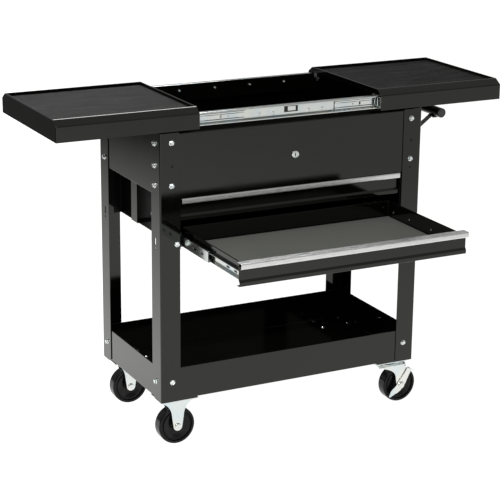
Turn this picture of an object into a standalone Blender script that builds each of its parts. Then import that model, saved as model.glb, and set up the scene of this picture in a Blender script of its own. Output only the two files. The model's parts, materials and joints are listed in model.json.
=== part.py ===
"""Two-drawer service cart with a split sliding top, in metres, +Z up, front towards -Y.

Four L-section legs carry an open chest with two ball-bearing drawers under it and a
deep shelf near the floor. Two flat trays slide apart on rails above the chest. The
left casters are rigid; the right casters swivel and have a brake pedal.
"""
from math import atan2, copysign, cos, hypot, pi, radians, sin, tan

import bmesh
import bpy
from mathutils import Matrix, Vector

# Whole cart
LENGTH = 0.764                      # outside the legs, along X
DEPTH = 0.396                       # outside the legs, along Y
CASTER_HEIGHT = 0.130
GAP = 0.0003                        # clearance between pieces that touch
SHEET = 0.0012                      # body sheet
BEND = 0.002                        # outer radius of a fold
HEM_BEND = 0.0013

# Legs
LEG_SHEET = 0.002
LEG_FLANGE = 0.055
LEG_BOTTOM = CASTER_HEIGHT + 0.0005
LEG_TOP = 0.844
BOLT_INSET = 0.032                  # bolt line from the leg's outer edge
BOX_X = LENGTH / 2 - LEG_SHEET - GAP
BOX_Y = DEPTH / 2 - LEG_SHEET - GAP

# Lower shelf
SHELF_BOTTOM = 0.1335
SHELF_TOP = 0.222
HEM_WIDTH = 0.003
HEM_DROP = 0.009

# Chest
CHEST_FRONT_BOTTOM = 0.674
CHEST_SIDE_BOTTOM = 0.682
LEDGE_TOP = 0.841
LEDGE_WIDTH = 0.027
UPSTAND_TOP = 0.885
UPSTAND_Y = BOX_Y - LEDGE_WIDTH     # outer face of the upstand that holds the tray rail
STRAP_Y = (-0.043, -0.006)
STRAP_BOTTOM = 0.576
LOCK_Z = 0.755

# Drawer housing under the chest
HOUSING_X = 0.3245
HOUSING_BOTTOM = 0.541
BASE_FRONT = -0.178                 # front edge of the sheet that closes the housing below
BASE_SHEET = 0.001
FLOOR_BOTTOM = CHEST_SIDE_BOTTOM + 0.0015

# Sliding trays and their rails
TRAY_LENGTH = 0.380
TRAY_HALF_DEPTH = 0.197
TRAY_CLOSED_INNER = 0.002           # inner end of a closed tray from the middle
LEFT_TRAY_OPEN = 0.270
RIGHT_TRAY_OPEN = 0.252
TRAY_BOTTOM = 0.847
TRAY_SHOULDER = 0.887
TRAY_TOP = 0.901
TRAY_BEVEL = 0.021
TRAY_RIM = 0.004
TRAY_DECK = 0.8905
END_SHEET = 0.0015
RAIL_Z = (0.850, 0.885)
RAIL_DEPTH = 0.015
RAIL_HALF_LENGTH = 0.375
CAGE_LENGTH = 0.2355
CAGE_CLOSED_INNER = 0.0015

# Drawers and their slides, given for the lower drawer
DRAWER_PITCH = 0.078
LOWER_DRAWER_OPEN = 0.332
FRONT_HALF_WIDTH = 0.321
FRONT_Y = -0.184                    # face of a closed drawer front
FRONT_BOTTOM = 0.5353
FRONT_TOP = 0.5925
PAN_HALF_WIDTH = 0.309
PAN_DEPTH = 0.350
PAN_BOTTOM = 0.543
PAN_TOP = 0.590
PAN_SHEET = 0.001
PULL_TOP = 0.5945
PULL_HEIGHT = 0.0145
PULL_REACH = 0.014
PULL_SHEET = 0.0014
SLIDE_Z = 0.5615
SLIDE_FRONT = FRONT_Y + 0.003
SLIDE_LENGTH = 0.350

# Casters
RIGID_X = -0.326
SWIVEL_X = 0.324
CASTER_Y = 0.157
WHEEL_RADIUS = 0.0508
WHEEL_TREAD = 0.032
TRAIL = 0.036                       # axle behind the swivel axis
PLATE_HALF = (0.052, 0.038)
PLATE_SHEET = 0.0025
FORK_SHEET = 0.0025
FORK_OUTER = 0.022
AXLE_RADIUS = 0.0048
BRAKE_SHEET = 0.0025

# Handle on the right end
HANDLE_X = 0.469
HANDLE_Z = 0.8155
HANDLE_RADIUS = 0.013
HANDLE_LENGTH = 0.330
BRACKET_Y = 0.110

# The cart is moved so that its origin is in the middle of the whole, trays and drawer out.
SHIFT_X = (LEFT_TRAY_OPEN - RIGHT_TRAY_OPEN) / 2
FRONT_REACH = -(FRONT_Y - LOWER_DRAWER_OPEN - PULL_REACH)
SHIFT_Y = (FRONT_REACH - DEPTH / 2) / 2

BLACK = ("black_enamel", (0.012, 0.012, 0.012), 0.22, 0.0)
ZINC = ("zinc_plate", (0.72, 0.74, 0.78), 0.30, 1.0)
ALUMINIUM = ("brushed_aluminium", (0.80, 0.80, 0.81), 0.32, 1.0)
RUBBER = ("black_rubber", (0.03, 0.03, 0.032), 0.70, 0.0)
FOAM = ("grey_foam", (0.11, 0.115, 0.10), 0.85, 0.0)
WHEEL = ("black_wheel", (0.015, 0.015, 0.016), 0.40, 0.0)


# ---------------------------------------------------------------- building helpers
def clear_scene():
    for obj in list(bpy.data.objects):
        bpy.data.objects.remove(obj, do_unlink=True)


def collection(name):
    made = bpy.data.collections.new(name)
    bpy.context.scene.collection.children.link(made)
    return made


def empty(name, parent=None, location=(0.0, 0.0, 0.0)):
    made = bpy.data.objects.new(name, None)
    made.empty_display_size = 0.05
    made.location = location
    made.parent = parent
    PARTS.objects.link(made)
    return made


def material(node, finish):
    label, colour, roughness, metallic = finish
    made = bpy.data.materials.new(node + "_" + label)
    made.use_nodes = True
    shader = made.node_tree.nodes["Principled BSDF"]
    shader.inputs["Base Color"].default_value = (*colour, 1.0)
    shader.inputs["Roughness"].default_value = roughness
    shader.inputs["Metallic"].default_value = metallic
    return made


def add(name, bm, finish, parent, location=(0.0, 0.0, 0.0)):
    """Turn a bmesh into a named part, or into a cutter when finish is None."""
    mesh = bpy.data.meshes.new(name)
    bm.to_mesh(mesh)
    bm.free()
    obj = bpy.data.objects.new(name, mesh)
    obj.location = location
    obj.parent = parent
    if finish is None:
        CUTTERS.objects.link(obj)
        obj.hide_render = True
        obj.display_type = "WIRE"
    else:
        PARTS.objects.link(obj)
        mesh.materials.append(material(name, finish))
    return obj


def boolean(obj, tool, operation):
    modifier = obj.modifiers.new(operation.lower(), "BOOLEAN")
    modifier.operation = operation
    modifier.object = tool


def prism(name, outline, axis, start, end, finish, parent, location=(0.0, 0.0, 0.0)):
    """A flat outline pushed along X, Y or Z; its two numbers are the other two axes in order."""
    seat = {"X": lambda a, b: (start, a, b), "Y": lambda a, b: (a, start, b), "Z": lambda a, b: (a, b, start)}
    push = Vector([(end - start) * (axis == letter) for letter in "XYZ"])
    bm = bmesh.new()
    face = bm.faces.new([bm.verts.new(seat[axis](a, b)) for a, b in outline])
    pushed = bmesh.ops.extrude_face_region(bm, geom=[face])["geom"]
    bmesh.ops.translate(bm, vec=push, verts=[v for v in pushed if isinstance(v, bmesh.types.BMVert)])
    bmesh.ops.recalc_face_normals(bm, faces=bm.faces)
    return add(name, bm, finish, parent, location)


def box(name, low, high, finish, parent):
    bm = bmesh.new()
    bmesh.ops.create_cube(bm, size=1.0)
    size = Vector(high) - Vector(low)
    bmesh.ops.scale(bm, vec=size, verts=bm.verts)
    bmesh.ops.translate(bm, vec=Vector(low) + size / 2, verts=bm.verts)
    return add(name, bm, finish, parent)


def drill(obj, name, at, axis, radius, parent, depth=0.03, sides=12):
    """Cut a round hole through obj."""
    bm = bmesh.new()
    bmesh.ops.create_cone(bm, cap_ends=True, segments=sides, radius1=radius, radius2=radius, depth=depth)
    turn = {"X": Matrix.Rotation(pi / 2, 3, "Y"), "Y": Matrix.Rotation(pi / 2, 3, "X"), "Z": Matrix.Identity(3)}
    bmesh.ops.rotate(bm, cent=(0.0, 0.0, 0.0), matrix=turn[axis], verts=bm.verts)
    bmesh.ops.translate(bm, vec=at, verts=bm.verts)
    boolean(obj, add(name, bm, None, parent), "DIFFERENCE")


def arc(centre, radius, start, end, steps):
    """Points on an arc, by angle from +first axis towards +second axis."""
    angles = [start + (end - start) * step / steps for step in range(steps + 1)]
    return [(centre[0] + radius * cos(angle), centre[1] + radius * sin(angle)) for angle in angles]


def fold_points(path, radius, sheet, steps=2):
    """Round a path's corners. Each point comes with its direction; the sheet lies on the right of it."""
    points = []
    for index, corner in enumerate(path):
        here = Vector(corner)
        before = (here - Vector(path[index - 1])).normalized() if index else None
        after = (Vector(path[index + 1]) - here).normalized() if index + 1 < len(path) else None
        if before is None or after is None:
            points.append((here, after or before))
            continue
        turn = atan2(before.x * after.y - before.y * after.x, before.dot(after))
        bend = radius if turn < 0 else radius - sheet
        hand = copysign(1.0, turn)
        start = here - before * bend * tan(abs(turn) / 2)
        centre = start + Vector((-before.y, before.x)) * bend * hand
        for step in range(steps + 1):
            along = Matrix.Rotation(turn * step / steps, 2) @ before
            points.append((centre - Vector((-along.y, along.x)) * bend * hand, along))
    return points


def sheet(name, path, axis, start, end, finish, parent, thickness=SHEET, radius=BEND):
    """Folded sheet metal: the path is one face, and the thickness lies on its right-hand side."""
    folds = fold_points(path, radius, thickness)
    near = [tuple(point) for point, _ in folds]
    far = [tuple(point + Vector((along.y, -along.x)) * thickness) for point, along in folds]
    return prism(name, near + far[::-1], axis, start, end, finish, parent)


def on_side(path, side):
    """A path drawn for the negative side of its first axis, mirrored when side is +1."""
    return path if side < 0 else [(-a, b) for a, b in reversed(path)]


def span(side, inner, outer):
    """Ordered start and end of a stretch that runs outwards from the middle on one side."""
    return tuple(sorted((side * inner, side * outer)))


def pan(name, half_x, y_range, z_range, thickness, finish, parent):
    """Open-topped box of folded sheet, with its rim turned in and down as a hem."""
    bm = bmesh.new()
    bmesh.ops.create_cube(bm, size=1.0)
    low = Vector((-half_x, y_range[0], z_range[0]))
    size = Vector((half_x, y_range[1], z_range[1])) - low
    bmesh.ops.scale(bm, vec=size, verts=bm.verts)
    lid = [face for face in bm.faces if face.normal.z > 0.9]
    bmesh.ops.delete(bm, geom=lid, context="FACES")
    folds = [edge for edge in bm.edges if not edge.is_boundary]
    bmesh.ops.bevel(bm, geom=folds, offset=BEND, segments=2, profile=0.5, affect="EDGES")
    for inward, down in ((HEM_WIDTH, 0.0), (0.0, HEM_DROP)):
        rim = [edge for edge in bm.edges if edge.is_boundary]
        turned = bmesh.ops.extrude_edge_only(bm, edges=rim)["geom"]
        for vert in (item for item in turned if isinstance(item, bmesh.types.BMVert)):
            vert.co.x -= copysign(inward, vert.co.x)
            vert.co.y -= copysign(inward, vert.co.y)
            vert.co.z -= down
    bmesh.ops.translate(bm, vec=low + size / 2, verts=bm.verts)
    obj = add(name, bm, finish, parent)
    solidify = obj.modifiers.new("sheet", "SOLIDIFY")
    solidify.thickness = thickness
    solidify.offset = -1.0
    solidify.use_even_offset = True
    return obj


def turned(name, profile, finish, parent, location, along="Y", steps=24, closed=False):
    """Revolve a profile of (radius, height), listed from the top down its outer side."""
    bm = bmesh.new()
    verts = [bm.verts.new((radius, 0.0, height)) for radius, height in profile]
    for first, second in zip(verts, verts[1:] + verts[:1] if closed else verts[1:]):
        bm.edges.new((first, second))
    obj = add(name, bm, finish, parent, location)
    if along == "Y":
        obj.rotation_euler = (pi / 2, 0.0, 0.0)
    screw = obj.modifiers.new("turn", "SCREW")
    screw.steps = steps
    screw.render_steps = steps
    screw.use_merge_vertices = True
    screw.merge_threshold = 0.00001
    screw.use_smooth_shade = True
    return obj


# ---------------------------------------------------------------- frame, shelf and chest
def leg(name, side_x, side_y, parent):
    corner = (side_x * LENGTH / 2, side_y * DEPTH / 2)
    path = [
        (corner[0] - side_x * LEG_FLANGE, corner[1]),
        corner,
        (corner[0], corner[1] - side_y * LEG_FLANGE),
    ]
    if side_x * side_y < 0:
        path.reverse()
    obj = sheet(name, path, "Z", LEG_BOTTOM, LEG_TOP, BLACK, parent, LEG_SHEET, 0.003)
    bolt_x = corner[0] - side_x * BOLT_INSET
    bolt_y = corner[1] - side_y * BOLT_INSET
    drill(obj, name + "_spare_hole", (bolt_x, corner[1], 0.760), "Y", 0.0042, parent)
    drill(obj, name + "_pilot_hole", (bolt_x, corner[1], 0.686), "Y", 0.0026, parent, sides=8)
    drill(obj, name + "_side_hole", (corner[0], bolt_y, 0.543), "X", 0.003, parent)
    slot = arc((bolt_y, 0.567), 0.004, 0.0, pi, 6) + arc((bolt_y, 0.555), 0.004, pi, 2 * pi, 6)
    slot_tool = prism(name + "_slot", slot, "X", corner[0] - 0.01, corner[0] + 0.01, None, parent)
    boolean(obj, slot_tool, "DIFFERENCE")
    cut = [
        (corner[1] - side_y * 0.036, LEG_BOTTOM - 0.001),
        (corner[1] - side_y * 0.060, LEG_BOTTOM - 0.001),
        (corner[1] - side_y * 0.060, LEG_BOTTOM + 0.010),
    ]
    cut_tool = prism(name + "_corner_cut", cut, "X", corner[0] - 0.01, corner[0] + 0.01, None, parent)
    boolean(obj, cut_tool, "DIFFERENCE")


def lower_shelf(parent):
    shelf = pan("lower_shelf", BOX_X, (-BOX_Y, BOX_Y), (SHELF_BOTTOM, SHELF_TOP), SHEET, BLACK, parent)
    for x in (RIGID_X, SWIVEL_X):
        for side in (-1, 1):
            low = (x - PLATE_HALF[0] + 0.003, side * CASTER_Y - PLATE_HALF[1], CASTER_HEIGHT + GAP)
            high = (x + PLATE_HALF[0] - 0.003, side * CASTER_Y + PLATE_HALF[1], SHELF_BOTTOM + 0.0004)
            boolean(shelf, box("shelf_pad", low, high, None, parent), "UNION")


def chest(parent):
    for name, side, bottom in (("chest_front", -1, CHEST_FRONT_BOTTOM), ("chest_back", 1, HOUSING_BOTTOM)):
        path = on_side([
            (-BOX_Y, bottom),
            (-BOX_Y, LEDGE_TOP),
            (-UPSTAND_Y, LEDGE_TOP),
            (-UPSTAND_Y, UPSTAND_TOP),
        ], side)
        wall = sheet(name, path, "X", -BOX_X, BOX_X, BLACK, parent)
        if side < 0:
            drill(wall, "lock_hole", (0.0, -BOX_Y, LOCK_Z), "Y", 0.0095, parent, sides=24)
    inner_y = BOX_Y - SHEET - GAP
    hem_x = BOX_X - 2 * HEM_BEND
    for name, side in (("chest_left", -1), ("chest_right", 1)):
        path = on_side([
            (-hem_x, CHEST_SIDE_BOTTOM + 0.008),
            (-hem_x, CHEST_SIDE_BOTTOM),
            (-BOX_X, CHEST_SIDE_BOTTOM),
            (-BOX_X, LEDGE_TOP - SHEET - GAP),
        ], side)
        wall = sheet(name, path, "Y", -inner_y, inner_y, BLACK, parent, SHEET, HEM_BEND)
        strap_x = BOX_X - 0.001
        strap = on_side([
            (-HOUSING_X - GAP, STRAP_BOTTOM),
            (-strap_x, STRAP_BOTTOM),
            (-strap_x, CHEST_SIDE_BOTTOM + 0.006),
        ], side)
        tool = sheet(name + "_strap", strap, "Y", *STRAP_Y, None, parent, 0.0015, BEND)
        boolean(wall, tool, "UNION")


def drawer_housing(parent):
    """Chest floor, the two side channels that carry the drawer slides, and the sheet that closes them below."""
    inner_y = BOX_Y - SHEET - GAP
    floor_x = BOX_X - 2 * HEM_BEND - 2 * GAP
    floor = box("drawer_housing", (-floor_x, -inner_y, FLOOR_BOTTOM), (floor_x, inner_y, FLOOR_BOTTOM + SHEET),
                BLACK, parent)
    face_y = inner_y - SHEET
    for side in (-1, 1):
        channel = on_side([
            (-HOUSING_X - 0.021, -face_y),
            (-HOUSING_X, -face_y),
            (-HOUSING_X, face_y),
            (-HOUSING_X - 0.021, face_y),
        ], side)
        tool = sheet("housing_side", channel, "Z", HOUSING_BOTTOM, FLOOR_BOTTOM + SHEET / 2, None, parent)
        boolean(floor, tool, "UNION")
    wall_x = HOUSING_X - SHEET / 2
    tool = box("housing_base", (-wall_x, BASE_FRONT, HOUSING_BOTTOM), (wall_x, face_y, HOUSING_BOTTOM + BASE_SHEET),
               None, parent)
    boolean(floor, tool, "UNION")


def lock(parent):
    """Key lock on the chest front; its cam turns with the plug."""
    profile = [
        (0.0, 0.0034), (0.0082, 0.0034), (0.0106, 0.0024), (0.0106, 0.0004),
        (0.0088, 0.0004), (0.0088, -0.018), (0.0, -0.018),
    ]
    plug = turned("lock_cylinder", profile, ZINC, parent, (0.0, -BOX_Y, LOCK_Z))
    back = -BOX_Y + 0.0175
    cam = box("lock_cam", (-0.005, back, LOCK_Z - 0.005), (0.026, back + 0.002, LOCK_Z + 0.005), None, parent)
    boolean(plug, cam, "UNION")
    keyway = box("keyway", (-0.0008, -BOX_Y - 0.005, LOCK_Z - 0.004), (0.0008, -BOX_Y - 0.001, LOCK_Z + 0.004),
                 None, parent)
    boolean(plug, keyway, "DIFFERENCE")


# ---------------------------------------------------------------- sliding top
def tray_rail(name, side, parent):
    """Fixed channel on the chest's upstand, open outwards, shared by both trays."""
    web = UPSTAND_Y + GAP
    lip = web + RAIL_DEPTH
    low, high = RAIL_Z
    path = on_side([
        (-lip, high - 0.0035), (-lip, high), (-web, high), (-web, low), (-lip, low), (-lip, low + 0.0035),
    ], side)
    rail = sheet(name, path, "X", -RAIL_HALF_LENGTH, RAIL_HALF_LENGTH, ZINC, parent)
    y_low, y_high = span(side, web - 0.001, web + 0.005)
    window = box(name + "_window", (-0.020, y_low, low + 0.0125), (0.020, y_high, high - 0.0055), None, parent)
    boolean(rail, window, "DIFFERENCE")


def tray_cage(name, tray_side, rail_side, parent):
    """Ball retainer that travels half as far as its tray."""
    web = UPSTAND_Y + GAP + 0.0035
    low, high = RAIL_Z[0] + 0.0025, RAIL_Z[1] - 0.0025
    path = on_side([(-web - 0.009, high), (-web, high), (-web, low), (-web - 0.009, low)], rail_side)
    inner = CAGE_CLOSED_INNER
    sheet(name, path, "X", *span(tray_side, inner, inner + CAGE_LENGTH), ZINC, parent, 0.0008, 0.0016)


def tray_runner(name, tray_side, rail_side, parent):
    """Inner slide member, held to the tray's skirt by two spacers."""
    face = UPSTAND_Y + GAP + 0.017
    low, high = RAIL_Z[0] + 0.0055, RAIL_Z[1] - 0.0055
    path = on_side([(-face + 0.010, low), (-face, low), (-face, high), (-face + 0.010, high)], rail_side)
    inner, outer = TRAY_CLOSED_INNER + 0.006, TRAY_LENGTH - 0.010
    runner = sheet(name, path, "X", *span(tray_side, inner, outer), ZINC, parent, 0.001, 0.0016)
    y_low, y_high = span(rail_side, face - 0.0005, TRAY_HALF_DEPTH - SHEET - GAP)
    for middle in (0.080, 0.300):
        x_low, x_high = span(tray_side, middle - 0.015, middle + 0.015)
        spacer = box(name + "_spacer", (x_low, y_low, low + 0.004), (x_high, y_high, high - 0.004), None, parent)
        boolean(runner, spacer, "UNION")


def tray(name, side, opening, cart):
    """One half of the top: a folded deck with a raised rim, its mat, two runners and two cages."""
    moving = empty(name, cart, (side * opening, 0.0, 0.0))
    inner, outer = TRAY_CLOSED_INNER, TRAY_CLOSED_INNER + TRAY_LENGTH
    shoulder = TRAY_HALF_DEPTH - TRAY_BEVEL
    half_deck = shoulder - TRAY_RIM
    left = [
        (-TRAY_HALF_DEPTH, TRAY_BOTTOM), (-TRAY_HALF_DEPTH, TRAY_SHOULDER), (-shoulder, TRAY_TOP),
        (-half_deck, TRAY_TOP), (-half_deck, TRAY_DECK),
    ]
    profile = left + [(-y, z) for y, z in reversed(left)]
    deck = sheet(name + "_pan", profile, "X", *span(side, inner, outer), BLACK, moving, SHEET, 0.0018)
    end_path = left[:3] + [(-y, z) for y, z in reversed(left[:3])]
    end = [tuple(point) for point, _ in fold_points(end_path, 0.0018, SHEET)]
    end_plate = prism(name + "_end", end, "X", *span(side, outer - END_SHEET, outer), None, moving)
    boolean(deck, end_plate, "UNION")
    lips = ((inner, inner + 0.003, UPSTAND_TOP + 0.0018), (outer - 0.003, outer, TRAY_DECK - 0.0008))
    for start, stop, z_low in lips:
        x_low, x_high = span(side, start, stop)
        lip = box(name + "_lip", (x_low, -half_deck - 0.0005, z_low), (x_high, half_deck + 0.0005, TRAY_TOP),
                  None, moving)
        boolean(deck, lip, "UNION")
    x_low, x_high = span(side, inner + 0.0036, outer - 0.0036)
    mat_y = half_deck - 0.0015
    box(name + "_mat", (x_low, -mat_y, TRAY_DECK + GAP), (x_high, mat_y, TRAY_DECK + 0.003), RUBBER, moving)
    half_way = empty(name + "_cages", cart, (side * opening / 2, 0.0, 0.0))
    for end_name, rail_side in (("front", -1), ("back", 1)):
        tray_runner(name + "_runner_" + end_name, side, rail_side, moving)
        tray_cage(name + "_cage_" + end_name, side, rail_side, half_way)


# ---------------------------------------------------------------- drawers
def slide_member(name, path, side, back, parent):
    """One of a drawer slide's three nested channels; path is (X, height above the slide's middle)."""
    points = on_side([(x, SLIDE_Z + z) for x, z in path], side)
    sheet(name, points, "Y", SLIDE_FRONT, SLIDE_FRONT + SLIDE_LENGTH - back, ZINC, parent, 0.001, 0.0018)


def drawer(name, opening, lift, cart):
    moving = empty(name, cart, (0.0, -opening, lift))
    half_way = empty(name + "_middle", cart, (0.0, -opening / 2, lift))
    fixed = empty(name + "_cabinet", cart, (0.0, 0.0, lift))

    body = pan(name + "_pan", PAN_HALF_WIDTH, (FRONT_Y + 0.001, FRONT_Y + 0.001 + PAN_DEPTH),
               (PAN_BOTTOM, PAN_TOP), PAN_SHEET, BLACK, moving)
    lip_y = FRONT_Y - 0.0045
    skin = [
        (FRONT_Y + 0.009, FRONT_BOTTOM), (lip_y, FRONT_BOTTOM), (lip_y, FRONT_BOTTOM + 0.011),
        (FRONT_Y, FRONT_BOTTOM + 0.0155), (FRONT_Y, FRONT_TOP), (FRONT_Y + 0.008, FRONT_TOP),
    ]
    face = sheet(name + "_face", skin, "X", -FRONT_HALF_WIDTH, FRONT_HALF_WIDTH, None, moving)
    boolean(body, face, "UNION")

    pull_y = FRONT_Y - PULL_REACH
    hook = [
        (pull_y + 0.0035, PULL_TOP - PULL_HEIGHT), (pull_y, PULL_TOP - PULL_HEIGHT),
        (pull_y, PULL_TOP), (FRONT_Y + 0.009, PULL_TOP),
    ]
    sheet(name + "_pull", hook, "X", -FRONT_HALF_WIDTH, FRONT_HALF_WIDTH, ALUMINIUM, moving, PULL_SHEET, 0.0025)

    floor = PAN_BOTTOM + PAN_SHEET + GAP
    liner_x = PAN_HALF_WIDTH - 0.0040
    box(name + "_liner", (-liner_x, FRONT_Y + 0.006, floor), (liner_x, FRONT_Y + PAN_DEPTH - 0.004, floor + 0.0025),
        FOAM, moving)

    for hand, side in (("left", -1), ("right", 1)):
        wall = HOUSING_X - SHEET - GAP
        cabinet = [(-0.315, -0.0175), (-wall, -0.0175), (-wall, 0.0175), (-0.315, 0.0175)]
        middle = [(-0.3125, -0.0145), (-wall + 0.002, -0.0145), (-wall + 0.002, 0.0145), (-0.3125, 0.0145)]
        inner = [(-0.318, 0.0105), (-0.3094, 0.0105), (-0.3094, -0.0105), (-0.318, -0.0105)]
        slide_member(name + "_cabinet_slide_" + hand, cabinet, side, 0.0, fixed)
        slide_member(name + "_middle_slide_" + hand, middle, side, 0.006, half_way)
        slide_member(name + "_runner_" + hand, inner, side, 0.006, moving)


# ---------------------------------------------------------------- casters
def fork_outline(top_z, back, front, axle_x):
    """Tapered side view of a caster fork, rounded round its axle."""
    radius = 0.013
    drop = 0.031
    foot = arc((axle_x, WHEEL_RADIUS), radius, 0.0, -pi, 10)
    return [(back, top_z), (front, top_z), (front, top_z - drop)] + foot + [(back, top_z - drop)]


def fork(name, top_z, back, front, axle_x, parent, location):
    legs = [(-FORK_OUTER, 0.030), (-FORK_OUTER, top_z), (FORK_OUTER, top_z), (FORK_OUTER, 0.030)]
    obj = sheet(name, legs, "X", back - 0.01, front + 0.01, ZINC, parent, FORK_SHEET, 0.005)
    obj.location = location
    outline = fork_outline(top_z + 0.001, back, front, axle_x)
    trim = prism(name + "_trim", outline, "Y", -0.05, 0.05, None, parent, location)
    boolean(obj, trim, "INTERSECT")
    return obj


def wheel_and_axle(name, parent, centre, front_face):
    """Wheel with a dished face, and the riveted axle that it turns on."""
    hub, bore = 0.0175, 0.0062
    half = [
        (bore, hub), (0.0125, hub), (0.0140, 0.0125), (0.0385, 0.0138), (0.0395, 0.0118), (0.0420, 0.0118),
        (0.0430, 0.0155), (0.0470, 0.0160), (0.0496, 0.0130), (WHEEL_RADIUS, 0.0075),
    ]
    profile = half + [(radius, -height) for radius, height in reversed(half)]
    turned(name + "_wheel", profile, WHEEL, parent, centre, steps=24, closed=True)
    front, back, head = front_face + 0.0004, FORK_OUTER + 0.0004, 0.0035
    axle = [
        (0.0, front + head), (0.0075, front + head), (0.0085, front + head - 0.001), (0.0085, front),
        (AXLE_RADIUS, front), (AXLE_RADIUS, -back), (0.0085, -back), (0.0085, 0.001 - back - head),
        (0.0075, -back - head), (0.0, -back - head),
    ]
    turned(name + "_axle", axle, ZINC, parent, centre, steps=12)


def top_plate(name, centre, finish, parent):
    low = (centre[0] - PLATE_HALF[0], centre[1] - PLATE_HALF[1], CASTER_HEIGHT - PLATE_SHEET)
    high = (centre[0] + PLATE_HALF[0], centre[1] + PLATE_HALF[1], CASTER_HEIGHT)
    return box(name, low, high, finish, parent)


def rigid_caster(name, side, parent):
    centre = (RIGID_X, side * CASTER_Y, 0.0)
    obj = fork(name + "_fork", CASTER_HEIGHT - 0.0012, -0.036, 0.036, 0.0, parent, centre)
    boolean(obj, top_plate(name + "_plate", centre, None, parent), "UNION")
    axle = (centre[0], centre[1], WHEEL_RADIUS)
    drill(obj, name + "_axle_hole", axle, "Y", AXLE_RADIUS + 0.0005, parent, 0.06)
    wheel_and_axle(name, parent, axle, FORK_OUTER)


def swivel_caster(name, side, parent):
    centre = (SWIVEL_X, side * CASTER_Y, 0.0)
    crown = 0.1155
    plate = top_plate(name + "_swivel_plate", centre, ZINC, parent)
    race = [
        (0.0, CASTER_HEIGHT - 0.0012), (0.030, CASTER_HEIGHT - 0.0012), (0.030, 0.1245), (0.024, 0.1190),
        (0.005, 0.1190), (0.005, 0.1100), (0.009, 0.1100), (0.009, 0.1065), (0.0, 0.1065),
    ]
    boolean(plate, turned(name + "_race", race, None, parent, centre, "Z"), "UNION")

    obj = fork(name + "_fork", crown, -0.036, 0.050, TRAIL, parent, centre)
    cup = [(0.0, 0.1182), (0.022, 0.1182), (0.027, 0.1165), (0.027, crown - 0.001), (0.0, crown - 0.001)]
    cup_tool = turned(name + "_cup", cup, None, parent, centre, "Z")
    boolean(obj, cup_tool, "UNION")
    drill(obj, name + "_king_hole", (centre[0], centre[1], crown), "Z", 0.0062, parent)
    axle = (centre[0] + TRAIL, centre[1], WHEEL_RADIUS)
    drill(obj, name + "_axle_hole", axle, "Y", AXLE_RADIUS + 0.0005, parent, 0.06)
    wheel_and_axle(name, parent, axle, FORK_OUTER + 2 * GAP + BRAKE_SHEET)
    brake(name, parent, axle)


def brake(name, parent, axle):
    """Side brake: a bent lever that rocks on the axle, with a foot pad at its upper end."""
    rise = Matrix.Rotation(radians(60), 2)
    fall = Matrix.Rotation(radians(-142), 2)
    half_width = 0.008
    foot = [(0.053, -half_width), (0.053, half_width), (0.010, 0.0105)]
    toe = [(0.010, -0.0095), (0.036, -0.0075), (0.048, 0.0020), (0.046, 0.0040), (0.026, 0.0080), (0.010, 0.0105)]
    heel = [(0.010, -0.0095)]
    pad = [(0.053, -half_width), (0.0555, -half_width), (0.0555, half_width), (0.053, half_width)]
    face = -FORK_OUTER - 2 * GAP
    outline = [tuple(rise @ Vector(point)) for point in foot]
    outline += [tuple(fall @ Vector(point)) for point in toe]
    outline += [tuple(rise @ Vector(point)) for point in heel]
    lean_pad = [tuple(rise @ Vector(point)) for point in pad]
    obj = prism(name + "_brake", outline, "Y", face - BRAKE_SHEET, face, ZINC, parent, axle)
    tool = prism(name + "_brake_pad", lean_pad, "Y", face - 0.014, face - 0.0005, None, parent, axle)
    boolean(obj, tool, "UNION")
    drill(obj, name + "_brake_hole", axle, "Y", AXLE_RADIUS + 0.0005, parent, 0.08)


# ---------------------------------------------------------------- handle
def handle(parent):
    """Push bar across the right end, on two welded struts."""
    end = HANDLE_LENGTH / 2
    profile = [
        (0.0, end), (0.0095, end), (HANDLE_RADIUS, end - 0.003), (HANDLE_RADIUS, 0.003 - end),
        (0.0095, -end), (0.0, -end),
    ]
    bar = turned("handle", profile, BLACK, parent, (HANDLE_X, 0.0, HANDLE_Z))
    under = HANDLE_Z - HANDLE_RADIUS
    foot_x, foot_z = BOX_X + GAP + 0.001, 0.7375
    run, rise = HANDLE_X - foot_x, under - 0.001 - foot_z
    half_height = 0.0055 * hypot(run, rise) / run
    strut = [
        (foot_x, foot_z - half_height), (foot_x + run, foot_z + rise - half_height),
        (foot_x + run, foot_z + rise + half_height), (foot_x, foot_z + half_height),
    ]
    for side in (-1, 1):
        y_low, y_high = span(side, BRACKET_Y, BRACKET_Y + 0.003)
        boolean(bar, prism("handle_strut", strut, "Y", y_low, y_high, None, parent), "UNION")
        y_low, y_high = span(side, BRACKET_Y + 0.0005, BRACKET_Y + 0.030)
        tab = box("handle_tab", (HANDLE_X - 0.010, y_low, under - 0.003), (HANDLE_X + 0.010, y_high, under + 0.0006),
                  None, parent)
        boolean(bar, tab, "UNION")
        foot = box("handle_foot", (BOX_X + GAP, y_low, foot_z - 0.022), (BOX_X + GAP + 0.003, y_high, foot_z + 0.012),
                   None, parent)
        boolean(bar, foot, "UNION")


# ---------------------------------------------------------------- assembly
clear_scene()
PARTS = collection("service_cart")
CUTTERS = collection("cutters")
cart = empty("cart", None, (SHIFT_X, SHIFT_Y, 0.0))

for end_name, y_sign in (("front", -1), ("back", 1)):
    for hand, x_sign in (("left", -1), ("right", 1)):
        leg(end_name + "_" + hand + "_leg", x_sign, y_sign, cart)
    tray_rail("tray_rail_" + end_name, y_sign, cart)
    rigid_caster(end_name + "_left", y_sign, cart)
    swivel_caster(end_name + "_right", y_sign, cart)
lower_shelf(cart)
chest(cart)
drawer_housing(cart)
lock(cart)
handle(cart)
tray("left_tray", -1, LEFT_TRAY_OPEN, cart)
tray("right_tray", 1, RIGHT_TRAY_OPEN, cart)
drawer("upper_drawer", 0.0, DRAWER_PITCH, cart)
drawer("lower_drawer", LOWER_DRAWER_OPEN, 0.0, cart)
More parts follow.
